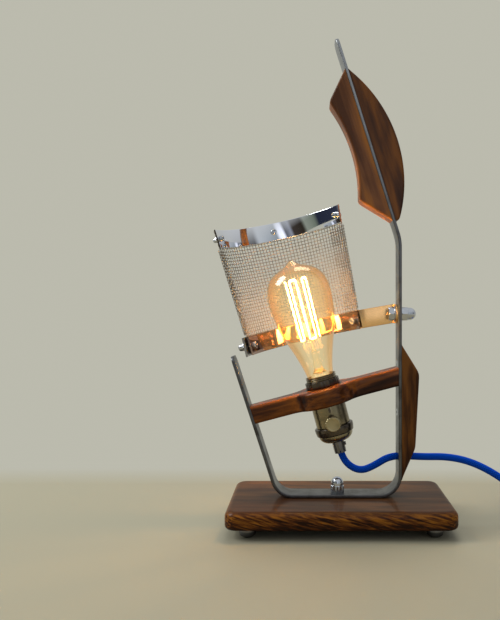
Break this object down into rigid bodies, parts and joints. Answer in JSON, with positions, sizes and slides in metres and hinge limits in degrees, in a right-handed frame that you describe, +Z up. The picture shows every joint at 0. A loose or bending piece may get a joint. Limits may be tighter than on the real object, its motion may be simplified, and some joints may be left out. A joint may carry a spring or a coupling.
{
  "type": "table lamp",
  "caption": "Table lamp with a bent flat bar frame on a wood board, a large clear bulb and a half round wire cloth reflector that tilts.",
  "frame": {"origin": "middle of the lamp's box at the height that its feet stand on, without the cord", "axes": "+Z up, +X to the right as seen from the knob's side, +Y away from the viewer"},
  "size_m": [0.4458, 0.1562, 0.48],
  "materials": {
    "base_wood": "dark red brown varnish",
    "grip_wood": "satin varnish",
    "bar_steel": "bare flat bar with a thin oil coat",
    "zinc": "bright plated",
    "foot_metal": "dull plated",
    "aged_brass": "aged",
    "black_metal": "satin black",
    "contact_brass": "bright",
    "blue_cloth": "woven cover",
    "black_plastic": "smooth",
    "bulb_glass": "clear, faintly amber",
    "filament_metal": "fine wire",
    "wire_steel": "woven wire",
    "polished_steel": "polished",
    "bracket_steel": "bare strip"
  },
  "bodies": {
    "frame": {"base_board": "base_wood", "feet": "foot_metal", "frame_bar": "bar_steel", "base_bolt": "zinc", "washers": "zinc", "cap_nuts": "zinc", "pivot_bolt": "zinc", "grip_inner_scale": "grip_wood", "grip_outer_scale": "grip_wood", "grip_pins": "zinc", "lower_grip": "grip_wood", "wood_screws": "zinc", "socket_arm": "grip_wood", "socket_shell": "aged_brass", "socket_ring": "black_metal", "socket_sleeve": "contact_brass", "socket_contact": "contact_brass", "socket_cap": "black_metal", "cord_grip": "aged_brass", "cord_grip_screw": "aged_brass", "cord": "blue_cloth", "cord_coil": "blue_cloth", "cord_tail": "blue_cloth", "plug_body": "black_plastic", "plug_pins": "contact_brass"},
    "switch": {"switch_spindle": "aged_brass", "switch_knob": "aged_brass"},
    "bulb": {"bulb_glass": "bulb_glass", "bulb_cap": "contact_brass", "bulb_cap_glass": "black_plastic", "bulb_contact": "zinc", "bulb_stem": "bulb_glass", "filament": "filament_metal", "filament_supports": "filament_metal"},
    "reflector": {"reflector_cloth": "wire_steel", "reflector_top_strip": "polished_steel", "reflector_low_strip": "polished_steel", "strip_screws": "zinc", "strip_nuts": "zinc", "hoop_screws": "zinc", "hoop_nuts": "zinc", "bracket_hoop": "bracket_steel"}
  },
  "joints": [
    {"name": "switch_turn", "type": "hinge", "parent": "frame", "child": "switch", "pos_m": [0.00204, -0.02, 0.10106], "axis": [0, 1, 0], "continuous": true},
    {"name": "bulb_out", "type": "slide", "parent": "frame", "child": "bulb", "axis": [-0.2554, 0, 0.9668], "range_m": [0, 0.035]},
    {"name": "reflector_tilt", "type": "hinge", "parent": "frame", "child": "reflector", "pos_m": [0.0669, 0, 0.2072], "axis": [1, 0, 0], "range_deg": [-15, 6]}
  ]
}
